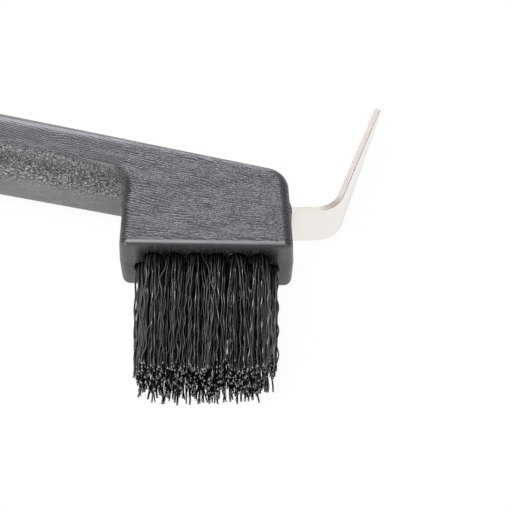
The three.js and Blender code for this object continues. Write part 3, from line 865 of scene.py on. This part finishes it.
# Over the textures the colour follows the height of the relief: the low parts are painted shade.
tone = mix_numbers(tree, textured, streaks, math_node(tree, "ADD", grain_part, dent_part))
colour = mix_colours(tree, tone, PLASTIC_DARK, PLASTIC_PALE)
# Painted light on the dull places, less in the hollow and near the head as painted shade.
colour = mix_colours(tree, stored(tree, "dull_and_painted_light"), colour, PAINTED_LIGHT_TINT, "MULTIPLY")
# Painted shade round the tufts.
colour = mix_colours(tree, stored(tree, "painted_tuft_shade"), colour, TUFT_SHADE_COLOUR)
specks = spread(tree, noise(tree, place, SPECKS, Detail=0.0), 0.75, 0.79)
specks = math_node(tree, "MULTIPLY", specks, stored(tree, "painted_tuft_shade"))
join(tree, *mix_colours(tree, specks, colour, SWARF_PALE), shader, "Base Color")

smooth_gloss = spread(tree, stored(tree, "dull_and_painted_light"), 0.0, 1.0, 0.25, 0.44)
textured_gloss = spread(tree, tone, 0.1, 0.9, 0.55, 0.27)
join(tree, *mix_numbers(tree, textured, smooth_gloss, textured_gloss), shader, "Roughness")
moulding.data.materials.clear()
moulding.data.materials.append(plastic)
print("finish:", plastic.name, len(tree.nodes), "nodes")

# %% [markdown]
# A tuft is a bundle of filaments folded over its anchor and trimmed after it is set. Each filament is a
# thin tube along its own path: it leaves the hole, spreads with its tuft, waves with the crimp that the
# maker gives it, and ends where the trimming knife passed. Seeded random numbers make every filament
# different and every run the same.

# %% One filament
FILAMENT_RADIUS, RADIUS_RANGE = 0.235, (0.8, 1.2)
FILAMENT_SIDES = 7
FILAMENT_STEP = 0.6
FLARED_END = 1.1
ROOT_INSIDE = 2.0
CRIMP_LENGTH, CRIMP_WAVE = 7.6, 0.22
CRIMP_RANGE, WAVE_RANGE, CRIMP_ONSET = (0.8, 1.3), (0.5, 1.35), 0.1
DRIFT, DRIFT_LENGTH, DRIFT_RANGE = 0.8, 9, (0, 6)
BOW_SPREAD = 0.36
REACH_POWER = 0.7
SIDE_ROOM = 1.6 * FILAMENT_RADIUS
ROUND = 2 * math.pi
draw = np.random.default_rng(20)


def filament(root, tip_shift, length):
    """Rings of one crimped filament from inside its hole to its cut end."""
    steps = int((length + ROOT_INSIDE) / FILAMENT_STEP)
    y = ROOT_INSIDE - np.linspace(0, 1, steps + 1) * (length + ROOT_INSIDE)
    share = np.clip(-y / length, 0, 1)
    crimp = CRIMP_LENGTH * draw.uniform(*CRIMP_RANGE)
    wave = ROUND * -y / crimp + draw.uniform(0, ROUND)
    wave = wave + DRIFT * np.sin(-y / DRIFT_LENGTH + draw.uniform(*DRIFT_RANGE))
    plane = draw.uniform(0, ROUND)
    swing = CRIMP_WAVE * draw.uniform(*WAVE_RANGE) * np.sin(wave) * smooth(0.0, CRIMP_ONSET, share)
    bow = draw.normal(0, BOW_SPREAD, 2)
    arch = np.sin(share * math.pi)
    reach = share ** REACH_POWER
    x = root[0] + tip_shift[0] * reach + bow[0] * arch + swing * math.cos(plane)
    z = root[1] + tip_shift[1] * reach + bow[1] * arch + swing * math.sin(plane)
    z = np.clip(z, SIDE_ROOM, THICKNESS - SIDE_ROOM)
    centre = np.column_stack([x, y, z])
    angle = np.arange(FILAMENT_SIDES) / FILAMENT_SIDES * ROUND
    radius = FILAMENT_RADIUS * draw.uniform(*RADIUS_RANGE)
    ring = radius * np.column_stack([np.cos(angle), np.zeros(FILAMENT_SIDES), np.sin(angle)])
    flare = np.ones(steps + 1)
    flare[-1] = FLARED_END
    return centre[:, None, :] + flare[:, None, None] * ring[None, :, :]


print("filament of", FILAMENT_SIDES, "sides,", 2 * FILAMENT_RADIUS, "mm thick")

# %% [markdown]
# The filaments stand evenly over each hole. Every tuft leans its own way, its filaments spread and
# scatter, the rows droop a little more towards the front, and a few stray or loose filaments cross the
# others. The brush is trimmed shorter at its two ends.

# %% Tufts
FILAMENTS_PER_TUFT = (34, 32, 25)
TRIM_LENGTH, LONGEST, LENGTH_SPREAD = 34.4, 35.6, 0.85
END_TRIM, END_RUN = (1.6, 4.0), (11, 18)
TUFT_LEAN, TUFT_FLARE = (0.35, 0.4), (0.6, 0.4)
SWEEP, SWEEP_CHANGE = 0.4, 0.01
ROW_DROOP = (-0.2, 1.0, 2.2)
ROW_SCATTER, SIDE_SCATTER = (1.5, 0.9, 0.9), 0.65
STRAY_SHARE, STRAY_REACH = 0.05, (2.0, 1.0)
# Paleness of the cut ends by row: lowest in the row nearest the table, as painted shade.
ROW_SHADED_PALENESS, PALE_POWER = (0.35, 0.9, 1.0), 2.5
BRUSH_ENDS = (-16.3, 17.2)
LOOSE = [  # row, root (x, z), shift of the tip (x, z)
    (2, (-9.0, 15.0), (-5.6, 2.4)),
    (2, (-1.4, 14.8), (7.6, 2.6)),
    (2, (7.4, 15.0), (4.6, 2.4)),
    (1, (17.9, 8.5), (0.3, 1.6)),
    (1, (17.8, 7.4), (0.1, 0.6)),
    (1, (-17.6, 9.0), (0.6, 1.8)),
    (0, (-14.8, 3.6), (-1.0, -2.4)),
]


def disc_points(count, radius):
    """Points spread evenly over a disc, as the filaments lie in a drilled hole."""
    index = np.arange(count) + 0.5
    reach = radius * np.sqrt(index / count)
    angle = index * math.pi * (3 - math.sqrt(5))
    return np.column_stack([reach * np.cos(angle), reach * np.sin(angle)])


def filaments_of(row):
    """Root and tip shift of each filament in a row, drawn one at a time as the filaments are made."""
    for tuft_row, x, z in tuft_places:
        if tuft_row != row:
            continue
        lean = draw.normal(0, 1, 2) * TUFT_LEAN
        for offset in disc_points(FILAMENTS_PER_TUFT[row], HOLE_RADIUS - FILAMENT_RADIUS):
            root = np.array([x, z]) + offset
            shift = lean + (SWEEP - SWEEP_CHANGE * root[0], ROW_DROOP[row]) + offset * TUFT_FLARE
            shift += draw.normal(0, 1, 2) * (SIDE_SCATTER, ROW_SCATTER[row])
            shift[0] = np.clip(shift[0], BRUSH_ENDS[0] - root[0], BRUSH_ENDS[1] - root[0])
            if draw.random() < STRAY_SHARE:
                shift += draw.normal(0, 1, 2) * STRAY_REACH
            yield root, shift
    for loose_row, root, shift in LOOSE:
        if loose_row == row:
            yield np.array(root), np.array(shift)


def trimmed_length(root):
    """Length of a filament where the knife passed."""
    end_trim = END_TRIM[int(root[0] > 0)] * smooth(*END_RUN, abs(root[0]))
    return min(TRIM_LENGTH - end_trim + draw.normal(0, LENGTH_SPREAD), LONGEST)


bristle_rows = []
for row in range(len(TUFTS_IN_ROW)):
    parts, tones = [], []
    for root, shift in filaments_of(row):
        parts.append(skin(filament(root, shift, trimmed_length(root))))
        tones.append(np.full(len(parts[-1][0]), draw.random()))
    tones = np.concatenate(tones)
    piece = joined(f"bristle_tufts_{row + 1}", parts)
    store(piece, "tone", tones)
    # The cut ends of the row nearest the table are painted darker, as painted shade.
    store(piece, "pale_end_with_shade", tones ** PALE_POWER * ROW_SHADED_PALENESS[row])
    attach(piece, "root")
    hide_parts(f"bristle_row_{row + 1}")
    bristle_rows.append(piece)
    print(piece.name, len(parts), "filaments,", len(piece.data.polygons), "faces")

# %% [markdown]
# Black synthetic filament: nearly black, with a gloss that turns to grey streaks on the side of the
# light. Each filament has its own tone and gloss. A sheared end is rough and scatters light, so some of
# the cut ends are pale, those in the row nearest the table less, as painted shade; they have a finish
# of their own.

# %% Finish of the filaments
FILAMENT_BLACK = (0.001, 0.001, 0.0015, 1)
FILAMENT_GREY = (0.008, 0.008, 0.0095, 1)
OWN_TONE, STREAK_TONE = 0.6, 0.4
CUT_DARK = (0.010, 0.010, 0.0105, 1)
CUT_PALE = (0.56, 0.56, 0.57, 1)

bristle_finish, tree = new_finish("black_filament")
shader = add_surface(tree, {"IOR": 1.8, "Specular IOR Level": 0.9})
own_tone = math_node(tree, "MULTIPLY", stored(tree, "tone"), OWN_TONE)
streak = math_node(tree, "MULTIPLY_ADD", even_noise(tree, 900.0, 2.0), STREAK_TONE, own_tone)
join(tree, *two_tone(tree, streak, FILAMENT_BLACK, FILAMENT_GREY, 0.3, 1.0), shader, "Base Color")
join(tree, *spread(tree, stored(tree, "tone"), 0.0, 1.0, 0.33, 0.13), shader, "Roughness")

cut_finish, tree = new_finish("sheared_end")
shader = add_surface(tree, {"Roughness": 0.6})
torn = spread(tree, even_noise(tree, 700.0, 1.0), 0.35, 0.65, 0.2, 1.0)
# Pale cut ends, darker in the row nearest the table as painted shade.
pale = math_node(tree, "MULTIPLY", torn, stored(tree, "pale_end_with_shade"))
join(tree, *mix_colours(tree, pale, CUT_DARK, CUT_PALE), shader, "Base Color")

for piece in bristle_rows:
    piece.data.materials.append(bristle_finish)
    piece.data.materials.append(cut_finish)
    ends = [len(face.vertices) == FILAMENT_SIDES for face in piece.data.polygons]
    piece.data.polygons.foreach_set("material_index", np.array(ends, dtype=np.int32))
print("finish:", bristle_finish.name, "with", cut_finish.name, "on", sum(ends), "faces of the last row")

# %% [markdown]
# The pick is a steel strip, stamped, bent and plated. Its section is a rectangle whose edges the
# stamping has rounded, and the strip is a skin over such sections along its middle line: straight
# through the head, round the bend, and straight again while it tapers to a rounded tip. A painted
# shade for the sheared edges is stored on the points: most in the middle of the bend, where it paints a
# brownish reflection, and a little along the blade.

# %% Pick
PICK_REACH, BEND_RADIUS = 7.6, 5.5
BLADE_ANGLE, BLADE_LENGTH, BLADE_START = math.radians(72), 35.0, 1.5
TIP_WIDTH, TIP_TURN = 3.6, math.radians(80)
TANG_SHORT = 0.4
TANG_STATIONS, BEND_STATIONS, BLADE_STATIONS, TIP_STATIONS = 24, 25, 20, 9
STAMPED_EDGE, EDGE_MOST, EDGE_POINTS = 0.18, 0.98, 5
# Share of painted shade on the sheared edges along the blade.
BLADE_SHADE = 0.26


def pick_line():
    """Places along the strip's middle line, with direction and width."""
    half = PICK_THICKNESS / 2
    line = []
    for run in np.linspace(-TANG_LENGTH + TANG_SHORT, PICK_REACH, TANG_STATIONS):
        x = exit_place[0] + run * math.cos(TANG_SLOPE) - half * math.sin(TANG_SLOPE)
        y = PICK_HEIGHT + run * math.sin(TANG_SLOPE) + half * math.cos(TANG_SLOPE)
        line.append((x, y, TANG_SLOPE, PICK_WIDTH))
    radius = BEND_RADIUS + half
    centre = (x - radius * math.sin(TANG_SLOPE), y + radius * math.cos(TANG_SLOPE))
    for direction in np.linspace(TANG_SLOPE, BLADE_ANGLE, BEND_STATIONS)[1:]:
        x = centre[0] + radius * math.sin(direction)
        y = centre[1] - radius * math.cos(direction)
        line.append((x, y, direction, PICK_WIDTH))

    def blade(run, width):
        place = (x + run * math.cos(BLADE_ANGLE), y + run * math.sin(BLADE_ANGLE))
        line.append((*place, BLADE_ANGLE, width))

    tip = TIP_WIDTH / 2
    for run in np.linspace(BLADE_START, BLADE_LENGTH - tip, BLADE_STATIONS):
        blade(run, PICK_WIDTH + (TIP_WIDTH - PICK_WIDTH) * run / (BLADE_LENGTH - tip))
    for angle in np.linspace(0, TIP_TURN, TIP_STATIONS)[1:]:
        blade(BLADE_LENGTH - tip * (1 - math.sin(angle)), TIP_WIDTH * math.cos(angle))
    return line


def stamped_section(width, thickness, edge):
    """A rectangle with rounded corners, as (across, up) pairs."""
    edge = min(edge, width / 2 * EDGE_MOST)
    section = []
    for across, height, start in ((1, -1, -90), (1, 1, 0), (-1, 1, 90), (-1, -1, 180)):
        for angle in np.radians(np.linspace(start, start + 90, EDGE_POINTS)):
            sideways = across * (width / 2 - edge) + edge * math.cos(angle)
            section.append((sideways, height * (thickness / 2 - edge) + edge * math.sin(angle)))
    return section


rings, edge_shade = [], []
for x, y, direction, width in pick_line():
    bent = (direction - TANG_SLOPE) / (BLADE_ANGLE - TANG_SLOPE)
    # Painted shade and reflection on the edges: most in the middle of the bend, a little along the blade.
    edge_shade.append(max(math.sin(math.pi * bent), BLADE_SHADE * bent))
    ring = []
    for across, height in stamped_section(width, PICK_THICKNESS, STAMPED_EDGE):
        ring.append((x - height * math.sin(direction), y + height * math.cos(direction), MIDDLE + across))
    rings.append(ring)
pick = face_outwards(mesh_object("steel_pick", *skin(rings)))
store(pick, "edge_shade", np.repeat(edge_shade, len(rings[0])))
keep_inside(pick)
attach(pick, "root")
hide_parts("pick_blade")
print("pick:", len(pick.data.polygons), "faces")

# %% [markdown]
# Bright plating over steel strip. It mirrors the white table and the cards behind, so most of it looks
# pale; a fine rolled grain along the strip keeps it from looking like a mirror. The sheared edges are
# rougher, and painted darker and browner round the bend and a little along the blade, as painted shade
# and reflection. They are shaded flat, as a cut is.

# %% Finish of the pick
PLATING = (0.87, 0.83, 0.80, 1)
ROLLED = (300, 300, 6000)
SHEARED_DARK = (0.66, 0.63, 0.57, 1)
SHEARED_PALE = (0.72, 0.69, 0.63, 1)
# Painted shade and brownish reflection for the edges round the bend.
EDGE_SHADE_STEEL = (0.47, 0.41, 0.37, 1)
EDGE_FACING, FLAT_FACING = 0.5, 0.984

plating, tree = new_finish("bright_plating")
shader = add_surface(tree, {"Metallic": 1.0, "Base Color": PLATING})
rolled = noise(tree, object_place(tree), ROLLED, Detail=3.0)
join(tree, *spread(tree, rolled, 0.0, 1.0, 0.18, 0.34), shader, "Roughness")
bump = add_node(tree, "ShaderNodeBump", values={"Strength": 0.05, "Distance": 0.00002})
join(tree, *rolled, bump, "Height")
join(tree, bump, "Normal", shader, "Normal")

sheared, tree = new_finish("sheared_edge")
shader = add_surface(tree, {"Metallic": 1.0})
torn = even_noise(tree, 420.0, 2.0)
steel = two_tone(tree, torn, SHEARED_DARK, SHEARED_PALE, 0.3, 0.7)
# Painted shade and reflection round the bend and along the blade.
steel = mix_colours(tree, stored(tree, "edge_shade"), steel, EDGE_SHADE_STEEL)
join(tree, *steel, shader, "Base Color")
join(tree, *spread(tree, torn, 0.0, 1.0, 0.57, 0.64), shader, "Roughness")

pick.data.materials.append(plating)
pick.data.materials.append(sheared)
edges = [abs(face.normal.z) > EDGE_FACING for face in pick.data.polygons]
pick.data.polygons.foreach_set("material_index", np.array(edges, dtype=np.int32))
flat = [abs(face.normal.z) > FLAT_FACING for face in pick.data.polygons]
pick.data.polygons.foreach_set("use_smooth", np.logical_not(flat))
print("finish:", plating.name, "with", sheared.name, "on", sum(edges), "faces")

# %% [markdown]
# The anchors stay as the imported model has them, out of sight in their holes. They are cut from flat
# brass wire, with the dull drawn surface that such wire has.

# %% Finish of the anchors
BRASS_DARK = (0.50, 0.36, 0.14, 1)
BRASS_PALE = (0.66, 0.50, 0.22, 1)

brass, tree = new_finish("drawn_brass")
shader = add_surface(tree, {"Metallic": 1.0})
drawn = even_noise(tree, 1500.0, 2.0)
join(tree, *two_tone(tree, drawn, BRASS_DARK, BRASS_PALE), shader, "Base Color")
join(tree, *spread(tree, drawn, 0.0, 1.0, 0.35, 0.55), shader, "Roughness")
anchors = [node for name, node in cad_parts.items() if name.startswith("tuft_anchor")]
for node in anchors:
    node.data.materials.clear()
    node.data.materials.append(brass)
print("finish:", brass.name, "on", len(anchors), "anchors")
